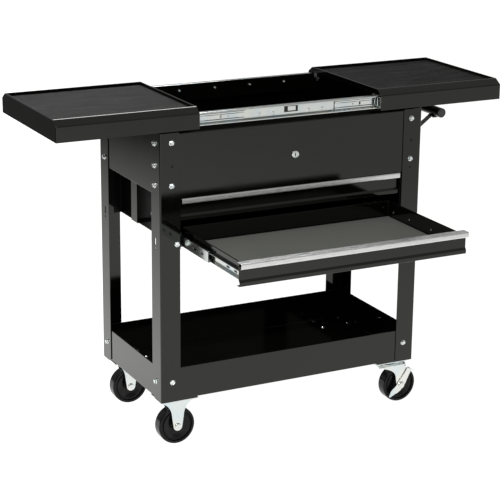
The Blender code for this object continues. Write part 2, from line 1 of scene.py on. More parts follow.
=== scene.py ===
"""Finished look of the service cart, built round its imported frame.

Shapes are drawn in cart coordinates: metres, with X and Y measured from the middle of the
four legs and Z from the floor. Every piece is moved to the frame's place when it is made.
"""

import json
from math import atan2, copysign, cos, hypot, pi, radians, sin, tan

import bmesh
import bpy
from mathutils import Matrix, Vector


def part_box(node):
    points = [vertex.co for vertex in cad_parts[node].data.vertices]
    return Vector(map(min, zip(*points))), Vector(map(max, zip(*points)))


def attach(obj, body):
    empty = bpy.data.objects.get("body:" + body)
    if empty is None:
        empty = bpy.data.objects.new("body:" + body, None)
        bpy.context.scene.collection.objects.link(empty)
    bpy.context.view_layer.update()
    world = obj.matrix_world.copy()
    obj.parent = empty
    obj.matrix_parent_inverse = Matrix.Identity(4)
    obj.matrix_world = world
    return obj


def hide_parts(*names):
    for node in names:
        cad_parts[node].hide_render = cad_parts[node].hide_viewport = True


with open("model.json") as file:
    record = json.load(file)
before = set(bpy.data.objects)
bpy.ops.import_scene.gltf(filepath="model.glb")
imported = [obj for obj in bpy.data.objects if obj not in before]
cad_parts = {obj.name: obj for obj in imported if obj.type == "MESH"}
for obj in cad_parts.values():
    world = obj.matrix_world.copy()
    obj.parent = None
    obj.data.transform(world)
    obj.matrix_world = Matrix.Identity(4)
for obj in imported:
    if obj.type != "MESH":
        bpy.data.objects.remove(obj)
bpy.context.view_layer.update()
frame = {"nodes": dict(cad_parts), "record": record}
MIDDLE = (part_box("front_left_leg")[0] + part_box("back_right_leg")[1]) / 2
MIDDLE.z = 0.0

SHEET = 0.0012                      # body sheet
GAP = 0.0003                        # clearance between pieces that touch
LEG_SHEET = 0.002
BOLT_INSET = 0.032                  # bolt line from a leg's outer edge
SHELF_FLOOR = 0.1335                # underside of the shelf's sheet
LEDGE_TOP = 0.841                   # top of the chest's long walls
LEDGE_WIDTH = 0.027                 # from a wall in to the tray rail's upstand
HEM_DROP = 0.008
LOCK_Z = 0.755
STRAP_Y = (-0.043, -0.006)
TRAY_SHOULDER = 0.887
TRAY_DECK = 0.8905
PAN_HALF_WIDTH = 0.309
FORK_SHEET = 0.0025
FORK_OUTER = 0.022
AXLE_HOLE = 0.0053
LEG_X, LEG_Y = (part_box("back_right_leg")[1] - MIDDLE).xy
BOX_X = (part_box("chest_back")[1] - MIDDLE).x
BOX_Y = (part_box("chest_back")[1] - MIDDLE).y
SIDES = (("left", -1), ("right", 1))
ENDS = (("front", -1), ("back", 1))
CART = "cart_frame"
CASTER_PLATES = ("front_left_fork", "back_left_fork", "front_right_swivel_plate", "back_right_swivel_plate")


# ---------------------------------------------------------------- mesh helpers
def place(node):
    """A CAD node's lowest and highest corners in cart coordinates."""
    low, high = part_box(node)
    return low - MIDDLE, high - MIDDLE


AXES = {
    "X": Matrix.Rotation(pi / 2, 3, "Y"), "-X": Matrix.Rotation(-pi / 2, 3, "Y"),
    "Y": Matrix.Rotation(-pi / 2, 3, "X"), "-Y": Matrix.Rotation(pi / 2, 3, "X"),
    "Z": Matrix.Identity(3), "-Z": Matrix.Rotation(pi, 3, "X"),
}


def prism(bm, outline, axis, start, end):
    """A flat outline pushed along X, Y or Z; its two numbers are the other two axes in order."""
    def seat(along, a, b):
        return {"X": (along, a, b), "Y": (a, along, b), "Z": (a, b, along)}[axis]

    near = [bm.verts.new(seat(start, a, b)) for a, b in outline]
    far = [bm.verts.new(seat(end, a, b)) for a, b in outline]
    count = len(outline)
    faces = [bm.faces.new(near), bm.faces.new(far[::-1])]
    for index in range(count):
        after = (index + 1) % count
        faces.append(bm.faces.new((near[after], near[index], far[index], far[after])))
    bmesh.ops.recalc_face_normals(bm, faces=faces)


def block(bm, low, high):
    base = [(low[0], low[1]), (high[0], low[1]), (high[0], high[1]), (low[0], high[1])]
    prism(bm, base, "Z", low[2], high[2])


def lathe(bm, profile, at, axis="Z", steps=32, closed=False):
    """Revolve (radius, height) points about an axis through at; a zero radius closes an end."""
    turn = AXES[axis]
    at = Vector(at)
    rings = []
    for radius, height in profile:
        angles = [0.0] if radius < 1e-7 else [2 * pi * (step + 0.5) / steps for step in range(steps)]
        ring = [Vector((radius * cos(angle), radius * sin(angle), height)) for angle in angles]
        rings.append([bm.verts.new(at + turn @ point) for point in ring])
    faces = []
    for first, second in zip(rings, rings[1:] + rings[:1] if closed else rings[1:]):
        for step in range(steps):
            after = step + 1
            corners = (first[step % len(first)], first[after % len(first)],
                       second[after % len(second)], second[step % len(second)])
            faces.append(bm.faces.new(list(dict.fromkeys(corners))))
    bmesh.ops.recalc_face_normals(bm, faces=faces)


def rod(bm, at, axis, radius, low, high, steps=24):
    lathe(bm, [(0.0, high), (radius, high), (radius, low), (0.0, low)], at, axis, steps)


def arc(centre, radius, start, end, steps):
    angles = [start + (end - start) * step / steps for step in range(steps + 1)]
    return [(centre[0] + radius * cos(angle), centre[1] + radius * sin(angle)) for angle in angles]


def fold_points(path, radius, thickness, steps):
    """Round a path's corners; each point comes with its direction, and the sheet lies on the right of it."""
    points = []
    for index, corner in enumerate(path):
        here = Vector(corner)
        before = (here - Vector(path[index - 1])).normalized() if index else None
        after = (Vector(path[index + 1]) - here).normalized() if index + 1 < len(path) else None
        if before is None or after is None:
            points.append((here, after or before))
            continue
        turn = atan2(before.x * after.y - before.y * after.x, before.dot(after))
        bend = radius if turn < 0 else radius - thickness
        hand = copysign(1.0, turn)
        start = here - before * bend * tan(abs(turn) / 2)
        centre = start + Vector((-before.y, before.x)) * bend * hand
        for step in range(steps + 1):
            along = Matrix.Rotation(turn * step / steps, 2) @ before
            points.append((centre - Vector((-along.y, along.x)) * bend * hand, along))
    return points


def sheet(bm, path, axis, start, end, thickness=SHEET, radius=0.002, steps=6):
    """Folded sheet: the path is one face, and the thickness lies on its right-hand side."""
    folds = fold_points(path, radius, thickness, steps)
    near = [tuple(point) for point, _ in folds]
    far = [tuple(point + Vector((along.y, -along.x)) * thickness) for point, along in folds]
    prism(bm, near + far[::-1], axis, start, end)


def on_side(path, side):
    """A path drawn for the negative side of its first axis, mirrored when side is +1."""
    return path if side < 0 else [(-a, b) for a, b in reversed(path)]


def span(side, inner, outer):
    return tuple(sorted((side * inner, side * outer)))


def changed(bm, kind, **settings):
    """The mesh of bm with one modifier applied."""
    mesh = bpy.data.meshes.new("work")
    bm.to_mesh(mesh)
    bm.free()
    obj = bpy.data.objects.new("work", mesh)
    bpy.context.scene.collection.objects.link(obj)
    modifier = obj.modifiers.new("work", kind)
    for key, value in settings.items():
        setattr(modifier, key, value)
    bpy.context.view_layer.update()
    result = bpy.data.meshes.new_from_object(obj.evaluated_get(bpy.context.evaluated_depsgraph_get()))
    made = bmesh.new()
    made.from_mesh(result)
    bpy.data.objects.remove(obj)
    bpy.data.meshes.remove(mesh)
    bpy.data.meshes.remove(result)
    return made


def combine(bm, tool, operation):
    """A boolean of two closed meshes; both are used up."""
    mesh = bpy.data.meshes.new("tool")
    tool.to_mesh(mesh)
    tool.free()
    obj = bpy.data.objects.new("tool", mesh)
    bpy.context.scene.collection.objects.link(obj)
    made = changed(bm, "BOOLEAN", operation=operation, object=obj)
    bpy.data.objects.remove(obj)
    bpy.data.meshes.remove(mesh)
    return made


def cut(bm, tool):
    return combine(bm, tool, "DIFFERENCE")


def piece(name, bm, finish, body, nodes=(), bevel=0.0, segments=2, smooth=32.0):
    """Place a drawn mesh on its body, in its finish, standing for the CAD nodes given."""
    bmesh.ops.translate(bm, vec=MIDDLE, verts=bm.verts)
    mesh = bpy.data.meshes.new(name)
    bm.to_mesh(mesh)
    bm.free()
    mesh.shade_smooth()
    mesh.set_sharp_from_angle(angle=radians(smooth))
    mesh.materials.append(finish)
    obj = bpy.data.objects.new(name, mesh)
    bpy.context.scene.collection.objects.link(obj)
    if bevel:
        edge = obj.modifiers.new("edges", "BEVEL")
        edge.width = bevel
        edge.segments = segments
        edge.limit_method = "ANGLE"
        edge.angle_limit = radians(38)
        edge.miter_outer = "MITER_ARC"
        edge.harden_normals = False
    weigh = obj.modifiers.new("flats", "WEIGHTED_NORMAL")
    weigh.keep_sharp = True
    weigh.weight = 90
    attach(obj, body)
    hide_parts(*nodes)
    return obj


# ---------------------------------------------------------------- fasteners
def hex_bolt(bm, at, axis, across=0.0105, height=0.0058, flange=0.0074):
    """Flanged hex head, standing out along axis."""
    corner = across / 2 / cos(pi / 6)
    washer = [(0.0, 0.0020), (flange * 0.80, 0.0020), (flange * 0.97, 0.0012), (flange, 0.0007),
              (flange, -GAP), (0.0, -GAP)]
    head = [(0.0, height - 0.0006), (corner * 0.50, height - 0.0005), (corner * 0.62, height),
            (corner * 0.84, height), (corner, height - 0.0010), (corner, 0.0012), (0.0, 0.0012)]
    lathe(bm, washer, at, axis, 28)
    lathe(bm, head, at, axis, 6)


def hex_nut(bm, at, axis, across=0.010, height=0.005, thread=0.003):
    corner = across / 2 / cos(pi / 6)
    lathe(bm, [(0.0, 0.0008), (across * 0.72, 0.0008), (across * 0.76, 0.0), (0.0, 0.0)], at, axis, 28)
    lathe(bm, [(0.0, height), (corner * 0.84, height), (corner, height - 0.0009), (corner, 0.0006),
               (0.0, 0.0006)], at, axis, 6)
    rod(bm, at, axis, thread, height - 0.001, height + 0.0035, 20)


def rivet(bm, at, axis, radius=0.0033, height=0.0016):
    lathe(bm, [(0.0, height), (radius * 0.45, height * 0.94), (radius * 0.78, height * 0.68),
               (radius * 0.96, height * 0.30), (radius, -GAP), (0.0, -GAP)], at, axis, 20)


# ---------------------------------------------------------------- materials
def node(tree, kind, inputs=None, **settings):
    """A shader node; an input given as another node's socket is linked, and any other is set."""
    made = tree.nodes.new("ShaderNode" + kind)
    for key, value in settings.items():
        setattr(made, key, value)
    for key, value in (inputs or {}).items():
        if isinstance(value, bpy.types.NodeSocket):
            tree.links.new(value, made.inputs[key])
        else:
            made.inputs[key].default_value = value
    return made


def new_material(name):
    made = bpy.data.materials.new(name)
    made.use_nodes = True
    tree = made.node_tree
    return made, tree, tree.nodes["Principled BSDF"]


def grain(tree, scale, stretch=(1.0, 1.0, 1.0), detail=3.0):
    """Noise in the piece's own coordinates, with its features shrunk by stretch along each axis."""
    place_in = node(tree, "TexCoord").outputs["Object"]
    if stretch != (1.0, 1.0, 1.0):
        place_in = node(tree, "Mapping", {"Vector": place_in, "Scale": stretch}).outputs["Vector"]
    return node(tree, "TexNoise", {"Vector": place_in, "Scale": scale, "Detail": detail}).outputs["Fac"]


def between(tree, value, low, high, source=(0.3, 0.7)):
    """The value's source range spread over low to high, and held there beyond it."""
    limits = {"Value": value, "From Min": source[0], "From Max": source[1], "To Min": low, "To Max": high}
    return node(tree, "MapRange", limits).outputs["Result"]


def mix(tree, factor, first, second):
    made = node(tree, "Mix", {"Factor": factor}, data_type="RGBA")
    for socket, colour in ((6, first), (7, second)):
        if isinstance(colour, bpy.types.NodeSocket):
            tree.links.new(colour, made.inputs[socket])
        else:
            made.inputs[socket].default_value = (*colour, 1.0)
    return made.outputs[2]


def bump(tree, shader, height, distance, strength=1.0):
    relief = node(tree, "Bump", {"Height": height, "Distance": distance, "Strength": strength})
    tree.links.new(relief.outputs["Normal"], shader.inputs["Normal"])


def edge_band(tree, radius):
    """0 on flat faces and 1 along edges."""
    soft = node(tree, "Bevel", {"Radius": radius}, samples=4).outputs["Normal"]
    sharp = node(tree, "NewGeometry").outputs["Normal"]
    same = node(tree, "VectorMath", {0: soft, 1: sharp}, operation="DOT_PRODUCT").outputs["Value"]
    return between(tree, same, 1.0, 0.0, (0.86, 0.98))


def enamel():
    """Glossy black powder coat with a faint orange peel; edges lighter, partly wear, partly painted
    highlight.
    """
    made, tree, shader = new_material("black_enamel")
    edges = edge_band(tree, 0.0007)
    blotch = between(tree, grain(tree, 5.0), 0.0, 1.0)
    coat = mix(tree, blotch, (0.0012, 0.0012, 0.0010), (0.0022, 0.0022, 0.0019))
    # Painted highlight: the lighter edge colour is partly worn paint and partly a highlight line along every
    # fold and edge.
    worn_and_highlit = mix(tree, edges, coat, (0.022, 0.022, 0.021))
    tree.links.new(worn_and_highlit, shader.inputs["Base Color"])
    tree.links.new(between(tree, grain(tree, 9.0), 0.05, 0.10), shader.inputs["Roughness"])
    shader.inputs["Specular IOR Level"].default_value = 0.48
    shader.inputs["Specular Tint"].default_value = (1.0, 1.0, 0.94, 1.0)
    bump(tree, shader, grain(tree, 420.0, detail=1.0), 0.00004, 0.35)
    return made


def shaded_dull_coat():
    """Thin matt black coat inside the drawer housing: a duller copy of the enamel, as painted shade for its
    recess.
    """
    made, tree, shader = new_material("shaded_matt_black_coat")
    edges = edge_band(tree, 0.0006)
    blotch = between(tree, grain(tree, 6.0), 0.0, 1.0)
    coat = mix(tree, blotch, (0.0010, 0.0010, 0.0010), (0.0020, 0.0020, 0.0019))
    # Lighter edges: partly wear, partly a painted highlight line.
    tree.links.new(mix(tree, edges, coat, (0.030, 0.030, 0.029)), shader.inputs["Base Color"])
    shader.inputs["Specular IOR Level"].default_value = 0.12
    tree.links.new(between(tree, grain(tree, 40.0), 0.30, 0.45), shader.inputs["Roughness"])
    bump(tree, shader, grain(tree, 420.0, detail=1.0), 0.00005, 0.4)
    return made


def zinc():
    """Bright zinc plate with a faint blue and yellow bloom and rolling lines."""
    made, tree, shader = new_material("zinc_plate")
    bloom = between(tree, grain(tree, 22.0), 0.0, 1.0)
    plate = mix(tree, bloom, (0.66, 0.74, 0.77), (0.78, 0.78, 0.73))
    worn = mix(tree, edge_band(tree, 0.0005), plate, (0.80, 0.80, 0.79))
    tree.links.new(worn, shader.inputs["Base Color"])
    shader.inputs["Metallic"].default_value = 1.0
    tree.links.new(between(tree, grain(tree, 60.0, (1.0, 8.0, 8.0)), 0.10, 0.22), shader.inputs["Roughness"])
    bump(tree, shader, grain(tree, 300.0, (0.25, 1.0, 1.0)), 0.00002, 0.25)
    return made


def aluminium():
    """Extruded aluminium, brushed along its length."""
    made, tree, shader = new_material("brushed_aluminium")
    hair = grain(tree, 60.0, (0.6, 14.0, 14.0), 4.0)
    colour = mix(tree, between(tree, hair, 0.0, 1.0), (0.70, 0.71, 0.70), (0.88, 0.88, 0.87))
    tree.links.new(colour, shader.inputs["Base Color"])
    shader.inputs["Metallic"].default_value = 1.0
    tree.links.new(between(tree, hair, 0.24, 0.40), shader.inputs["Roughness"])
    bump(tree, shader, hair, 0.00004, 0.5)
    return made


def rubber(name, colour, light, roughness):
    """Matt black rubber with lighter streaks along its length."""
    made, tree, shader = new_material(name)
    streak = between(tree, grain(tree, 16.0, (0.6, 9.0, 9.0), 6.0), 0.0, 1.0, (0.42, 0.74))
    tree.links.new(mix(tree, streak, colour, light), shader.inputs["Base Color"])
    fine = grain(tree, 700.0, detail=2.0)
    shader.inputs["Specular IOR Level"].default_value = 0.06
    tree.links.new(between(tree, fine, roughness[0], roughness[1]), shader.inputs["Roughness"])
    bump(tree, shader, fine, 0.00008, 0.5)
    return made


def foam():
    """Closed-cell foam liner, slightly mottled."""
    made, tree, shader = new_material("grey_foam")
    cells = grain(tree, 900.0, detail=2.0)
    patch = between(tree, grain(tree, 7.0), 0.0, 1.0)
    base = mix(tree, patch, (0.118, 0.123, 0.108), (0.137, 0.142, 0.127))
    speckled = mix(tree, between(tree, cells, 0.0, 1.0, (0.35, 0.8)), base, (0.164, 0.169, 0.152))
    tree.links.new(speckled, shader.inputs["Base Color"])
    tree.links.new(between(tree, cells, 0.75, 0.9), shader.inputs["Roughness"])
    bump(tree, shader, cells, 0.00012, 0.6)
    return made


def wheel_plastic():
    """Hard black wheel, satin on its faces and scuffed on its tread."""
    made, tree, shader = new_material("black_wheel")
    scuff = between(tree, grain(tree, 55.0, detail=5.0), 0.0, 1.0, (0.5, 0.8))
    colour = mix(tree, scuff, (0.004, 0.004, 0.004), (0.014, 0.014, 0.014))
    tree.links.new(colour, shader.inputs["Base Color"])
    shader.inputs["Specular IOR Level"].default_value = 0.20
    tree.links.new(between(tree, grain(tree, 30.0), 0.08, 0.18), shader.inputs["Roughness"])
    bump(tree, shader, grain(tree, 500.0), 0.00005, 0.4)
    return made


def steel_balls():
    """Polished bearing steel with a film of grease."""
    made, tree, shader = new_material("bearing_steel")
    film = between(tree, grain(tree, 120.0), 0.0, 1.0)
    tree.links.new(mix(tree, film, (0.62, 0.60, 0.55), (0.80, 0.80, 0.80)), shader.inputs["Base Color"])
    shader.inputs["Metallic"].default_value = 1.0
    tree.links.new(between(tree, film, 0.10, 0.25, (0.0, 1.0)), shader.inputs["Roughness"])
    return made


ENAMEL, ZINC, ALUMINIUM = enamel(), zinc(), aluminium()
FOAM, WHEEL, BALLS = foam(), wheel_plastic(), steel_balls()
MAT = rubber("ribbed_rubber", (0.006, 0.006, 0.006), (0.028, 0.028, 0.027), (0.34, 0.50))
SHADED_DULL = shaded_dull_coat()
CAP = rubber("grey_cap", (0.070, 0.070, 0.070), (0.095, 0.095, 0.095), (0.55, 0.75))
SLOTS = {
    "black_enamel": ENAMEL, "zinc_plate": ZINC, "brushed_aluminium": ALUMINIUM,
    "black_rubber": MAT, "grey_foam": FOAM, "black_wheel": WHEEL,
}


def paint_cad_nodes():
    for part in frame["record"]["subparts"]:
        mesh = frame["nodes"][part["node"]].data
        mesh.materials.clear()
        # The drawer housing takes the duller enamel copy, as painted shade for its recess behind the chest's
        # sides.
        mesh.materials.append(SHADED_DULL if part["node"] == "drawer_housing" else SLOTS[part["material_slot"]])


# ---------------------------------------------------------------- frame, shelf and chest
def leg(end, side_y, hand, side_x):
    name = end + "_" + hand + "_leg"
    low, high = place(name)
    corner = (side_x * LEG_X, side_y * LEG_Y)
    flange = high.x - low.x
    path = [(corner[0] - side_x * flange, corner[1]), corner, (corner[0], corner[1] - side_y * flange)]
    if side_x * side_y < 0:
        path.reverse()
    bm = bmesh.new()
    sheet(bm, path, "Z", low.z, high.z, LEG_SHEET, 0.0036, 8)
    bolt_x = corner[0] - side_x * BOLT_INSET
    bolt_y = corner[1] - side_y * BOLT_INSET
    holes = bmesh.new()
    rod(holes, (bolt_x, corner[1], 0.760), "Y", 0.0042, -0.01, 0.01)
    rod(holes, (bolt_x, corner[1], 0.686), "Y", 0.0026, -0.01, 0.01)
    rod(holes, (corner[0], bolt_y, 0.543), "X", 0.003, -0.01, 0.01)
    slot = arc((bolt_y, 0.567), 0.004, 0.0, pi, 10) + arc((bolt_y, 0.555), 0.004, pi, 2 * pi, 10)
    prism(holes, slot, "X", corner[0] - 0.01, corner[0] + 0.01)
    chamfer = [(corner[1] - side_y * 0.036, low.z - 0.001), (corner[1] - side_y * 0.060, low.z - 0.001),
               (corner[1] - side_y * 0.060, low.z + 0.010)]
    prism(holes, chamfer, "X", corner[0] - 0.01, corner[0] + 0.01)
    for end_z, push in ((high.z, -1), (low.z, 1)):
        nick = [(corner[0] - side_x * (flange + 0.001), end_z - push * 0.001),
                (corner[0] - side_x * (flange - 0.005), end_z - push * 0.001),
                (corner[0] - side_x * (flange + 0.001), end_z + push * 0.005)]
        prism(holes, nick, "Y", corner[1] - 0.01, corner[1] + 0.01)
    piece(name + "_steel", cut(bm, holes), ENAMEL, CART, [name], bevel=0.0004)


def leg_bolts():
    for end, side_y in ENDS:
        out = "-Y" if side_y < 0 else "Y"
        bm = bmesh.new()
        for _, side_x in SIDES:
            across = "-X" if side_x < 0 else "X"
            for z in (0.819, 0.709, 0.185):
                hex_bolt(bm, (side_x * (LEG_X - BOLT_INSET), side_y * LEG_Y, z), out)
            hex_bolt(bm, (side_x * 0.3355, side_y * LEG_Y, 0.556), out)
            for z in (0.815, 0.759, 0.708, 0.183) if side_y < 0 else (0.815, 0.708, 0.183):
                hex_bolt(bm, (side_x * LEG_X, side_y * (LEG_Y - BOLT_INSET), z), across)
        piece(end + "_leg_bolts", bm, ZINC, CART)


def tub(bm, half_x, y_range, z_range, thickness, hem, drop):
    """Open-topped box of folded sheet, with its rim turned in and down as a hem."""
    low = Vector((-half_x, y_range[0], z_range[0]))
    high = Vector((half_x, y_range[1], z_range[1]))
    block(bm, low, high)
    bm.normal_update()
    bmesh.ops.delete(bm, geom=[face for face in bm.faces if face.normal.z > 0.9], context="FACES")
    folds = [edge for edge in bm.edges if not edge.is_boundary]
    bmesh.ops.bevel(bm, geom=folds, offset=0.0025, segments=5, profile=0.5, affect="EDGES")
    middle = (low + high) / 2
    turns = 4
    for step in range(turns):
        turn = pi * (step + 1) / turns
        before = pi * step / turns
        inward = hem / 2 * (cos(before) - cos(turn))
        lift = hem / 2 * (sin(turn) - sin(before))
        push_rim(bm, middle, inward, lift)
    push_rim(bm, middle, 0.0, -drop)
    return changed(bm, "SOLIDIFY", thickness=thickness, offset=-1.0, use_even_offset=True)


def push_rim(bm, middle, inward, lift):
    """Extend the open rim by one strip, moved inwards and up."""
    rim = [edge for edge in bm.edges if edge.is_boundary]
    grown = bmesh.ops.extrude_edge_only(bm, edges=rim)["geom"]
    for vert in (item for item in grown if isinstance(item, bmesh.types.BMVert)):
        vert.co.x -= copysign(inward, vert.co.x - middle.x)
        vert.co.y -= copysign(inward, vert.co.y - middle.y)
        vert.co.z += lift


def lower_shelf():
    low, high = place("lower_shelf")
    hem = 0.003
    z_range = (SHELF_FLOOR, high.z - hem / 2)
    bm = tub(bmesh.new(), high.x, (low.y, high.y), z_range, SHEET, hem, HEM_DROP)
    for name in CASTER_PLATES:
        first, last = place(name)
        block(bm, (first.x + 0.003, first.y, low.z), (last.x - 0.003, last.y, SHELF_FLOOR + 0.0004))
    piece("lower_shelf_pan", bm, ENAMEL, CART, ["lower_shelf"])


def chest():
    upstand, upstand_top = BOX_Y - LEDGE_WIDTH, place("chest_front")[1].z
    for name, side in (("chest_front", -1), ("chest_back", 1)):
        bottom = place(name)[0].z
        path = on_side([(-BOX_Y, bottom), (-BOX_Y, LEDGE_TOP), (-upstand, LEDGE_TOP),
                        (-upstand, upstand_top)], side)
        bm = bmesh.new()
        sheet(bm, path, "X", -BOX_X, BOX_X)
        if side < 0:
            hole = bmesh.new()
            rod(hole, (0.0, -BOX_Y, LOCK_Z), "Y", 0.0095, -0.01, 0.01, 40)
            bm = cut(bm, hole)
        piece(name + "_panel", bm, ENAMEL, CART, [name], bevel=0.0003)
    inner_y = BOX_Y - SHEET - GAP
    hem_x = BOX_X - 0.0026
    bottom = place("drawer_housing")[1].z - 0.0027
    for name, side in (("chest_left", -1), ("chest_right", 1)):
        path = on_side([(-hem_x, bottom + HEM_DROP), (-hem_x, bottom), (-BOX_X, bottom),
                        (-BOX_X, LEDGE_TOP - SHEET - GAP)], side)
        bm = bmesh.new()
        sheet(bm, path, "Y", -inner_y, inner_y, SHEET, 0.0013)
        strap = on_side([(-0.3248, 0.576), (-BOX_X + 0.001, 0.576), (-BOX_X + 0.001, bottom + 0.006)], side)
        tool = bmesh.new()
        sheet(tool, strap, "Y", *STRAP_Y, 0.0015, 0.002)
        piece(name + "_panel", combine(bm, tool, "UNION"), ENAMEL, CART, [name], bevel=0.0003)


def chest_fasteners():
    """Screws that hold the tray rails to the upstands, and the bolts of the drawer housing."""
    bm = bmesh.new()
    wall = BOX_Y - LEDGE_WIDTH - SHEET
    for x in (0.0535, 0.1605, 0.2675):
        for side_x in (-1, 1):
            for side_y, out in ((-1, "Y"), (1, "-Y")):
                hex_nut(bm, (side_x * x, side_y * wall, 0.867), out, across=0.007, height=0.003, thread=0.002)
    for side_x, out in ((-1, "-X"), (1, "X")):
        for z in (0.592, 0.664):
            hex_bolt(bm, (side_x * 0.3257, -0.0245, z), out, across=0.008, height=0.0045, flange=0.0058)
    piece("chest_fasteners", bm, ZINC, CART)


def lock():
    """Cam lock: a ringed face with a keyway, its barrel, and its cam."""
    low, high = place("lock_cylinder")
    centre = (0.0, -BOX_Y, LOCK_Z)
    bm = bmesh.new()
    lathe(bm, [(0.0, 0.0026), (0.0056, 0.0026), (0.0058, 0.0022), (0.0062, 0.0022), (0.0066, 0.0034),
               (0.0090, 0.0034), (0.0101, 0.0028), (0.0107, 0.0016), (0.0107, 0.0004), (0.0088, 0.0004),
               (0.0088, -0.0180), (0.0, -0.0180)], centre, "-Y", 48)
    key = bmesh.new()
    block(key, (-0.0014, low.y - 0.001, LOCK_Z - 0.0045), (0.0014, 0.014 - BOX_Y, LOCK_Z + 0.0045))
    bm = cut(bm, key)
    block(bm, (-0.005, high.y - 0.0021, 0.750), (high.x, high.y, 0.760))
    piece("lock_plug", bm, ZINC, "lock_cylinder", ["lock_cylinder"])


# ---------------------------------------------------------------- handle
def handle():
    high = place("handle")[1]
    radius, end = 0.013, high.y
    centre = (high.x - radius, 0.0, high.z - radius)
    bar = bmesh.new()
    lathe(bar, [(0.0, end - 0.002), (radius - 0.0006, end - 0.002), (radius, end - 0.0028),
                (radius, 0.0028 - end), (radius - 0.0006, 0.002 - end), (0.0, 0.002 - end)], centre, "Y", 56)
    under = centre[2] - radius
    foot_x, foot_z = BOX_X + GAP + 0.001, 0.7375
    run, rise = centre[0] - foot_x, under - 0.001 - foot_z
    half_height = 0.0055 * hypot(run, rise) / run
    strut = [(foot_x, foot_z - half_height), (foot_x + run, foot_z + rise - half_height),
             (foot_x + run, foot_z + rise + half_height), (foot_x, foot_z + half_height)]
    for side in (-1, 1):
        y_low, y_high = span(side, 0.110, 0.113)
        tool = bmesh.new()
        prism(tool, strut, "Y", y_low, y_high)
        bar = combine(bar, tool, "UNION")
        y_low, y_high = span(side, 0.1105, 0.140)
        for first, last in (((centre[0] - 0.010, under - 0.003), (centre[0] + 0.010, under + 0.0006)),
                            ((BOX_X + GAP, foot_z - 0.022), (BOX_X + GAP + 0.003, foot_z + 0.012))):
            tool = bmesh.new()
            block(tool, (first[0], y_low, first[1]), (last[0], y_high, last[1]))
            bar = combine(bar, tool, "UNION")
    piece("handle_bar", bar, ENAMEL, CART, ["handle"], bevel=0.0004)
    caps, bolts = bmesh.new(), bmesh.new()
    for side, out in ((-1, "-Y"), (1, "Y")):
        cap = [(0.0, 0.0014), (0.0040, 0.0015), (0.0100, 0.0011), (0.0118, 0.0004), (0.0126, -0.0006),
               (0.0126, -0.0021), (0.0, -0.0021)]
        lathe(caps, cap, (centre[0], side * (end - 0.0014), centre[2]), out, 40)
        hex_bolt(bolts, (BOX_X + GAP + 0.003, side * 0.127, foot_z - 0.008), "X", 0.009, 0.0050, 0.0065)
        hex_bolt(bolts, (centre[0], side * 0.127, under - 0.003), "-Z", 0.008, 0.0042, 0.0055)
    piece("handle_caps", caps, CAP, CART)
    piece("handle_bolts", bolts, ZINC, CART)


# ---------------------------------------------------------------- sliding top
def tray_rail(end, side):
    name = "tray_rail_" + end
    low, high = place(name)
    web, lip = sorted((abs(low.y), abs(high.y)))
    turned_in = 0.0038
    path = on_side([(-lip, high.z - turned_in), (-lip, high.z), (-web, high.z),
                    (-web, low.z), (-lip, low.z), (-lip, low.z + turned_in)], side)
    bm = bmesh.new()
    sheet(bm, path, "X", low.x, high.x, SHEET, 0.0024)
    window = bmesh.new()
    y_low, y_high = span(side, web - 0.001, web + 0.005)
    block(window, (-0.020, y_low, low.z + 0.0125), (0.020, y_high, high.z - 0.0055))
    for x in (-0.330, -0.215, 0.215, 0.330):
        block(window, (x - 0.012, y_low, low.z + 0.0145), (x + 0.012, y_high, high.z - 0.0145))
    bm = cut(bm, window)
    tab = [(-0.0095, side * (web + 0.0002)), (0.0130, side * (web + 0.0010)), (0.0130, side * (web + 0.0021)),
           (-0.0095, side * (web + 0.0013))]
    prism(bm, tab, "Z", low.z + 0.0152, high.z - 0.0082)
    out = "-Y" if side < 0 else "Y"
    for x in (-0.092, -0.052, 0.052, 0.092):
        rivet(bm, (x, side * (web + SHEET), (low.z + high.z) / 2 - 0.004), out, 0.0042, 0.0007)
    piece(name + "_channel", bm, ZINC, CART, [name], bevel=0.00025)


def ball_row(bm, start, step, count, radius, steps=10):
    profile = [(radius * sin(pi * ring / 6), radius * cos(pi * ring / 6)) for ring in range(7)]
    for index in range(count):
        lathe(bm, profile, Vector(start) + Vector(step) * index, "Z", steps)


def cage(hand, side_x, end, side_y):
    """Ball retainer with rolled ribs, long slots and two rows of balls."""
    name = hand + "_tray_cage_" + end
    low, high = place(name)
    web = min(abs(low.y), abs(high.y))
    rib = 0.0013
    steps = [(0.009, 0.0), (0.0, 0.0), (0.0, -0.0040), (rib, -0.0052), (rib, -0.0078), (0.0, -0.0090),
             (0.0, low.z - high.z + 0.0090), (rib, low.z - high.z + 0.0078), (rib, low.z - high.z + 0.0052),
             (0.0, low.z - high.z + 0.0040), (0.0, low.z - high.z), (0.009, low.z - high.z)]
    path = on_side([(-web - out, high.z + drop) for out, drop in steps], side_y)
    bm = bmesh.new()
    sheet(bm, path, "X", low.x, high.x, 0.0007, 0.0011, 3)
    middle = (low.x + high.x) / 2
    tool = bmesh.new()
    y_low, y_high = span(side_y, web - 0.002, web + 0.004)
    centre = (low.z + high.z) / 2
    for z in (centre - 0.0060, centre + 0.0060):
        for offset in (-0.054, 0.054):
            x = middle + offset
            block(tool, (x - 0.046, y_low, z - 0.0009), (x + 0.046, y_high, z + 0.0009))
    mark = side_x * 0.203
    block(tool, (mark - 0.0024, y_low, centre - 0.0042), (mark + 0.0024, y_high, centre + 0.0042))
    rod(tool, (side_x * 0.182, 0.0, centre), "Y", 0.0017, y_low, y_high, 16)
    piece(name + "_strip", cut(bm, tool), ZINC, hand + "_tray_cages", [name])
    balls = bmesh.new()
    count = 17
    pitch = (high.x - low.x - 0.010) / (count - 1)
    for z in (low.z + 0.00185, high.z - 0.00185):
        ball_row(balls, (low.x + 0.005, side_y * (web + 0.0065), z), (pitch, 0.0, 0.0), count, 0.0011)
    piece(name + "_balls", balls, BALLS, hand + "_tray_cages")


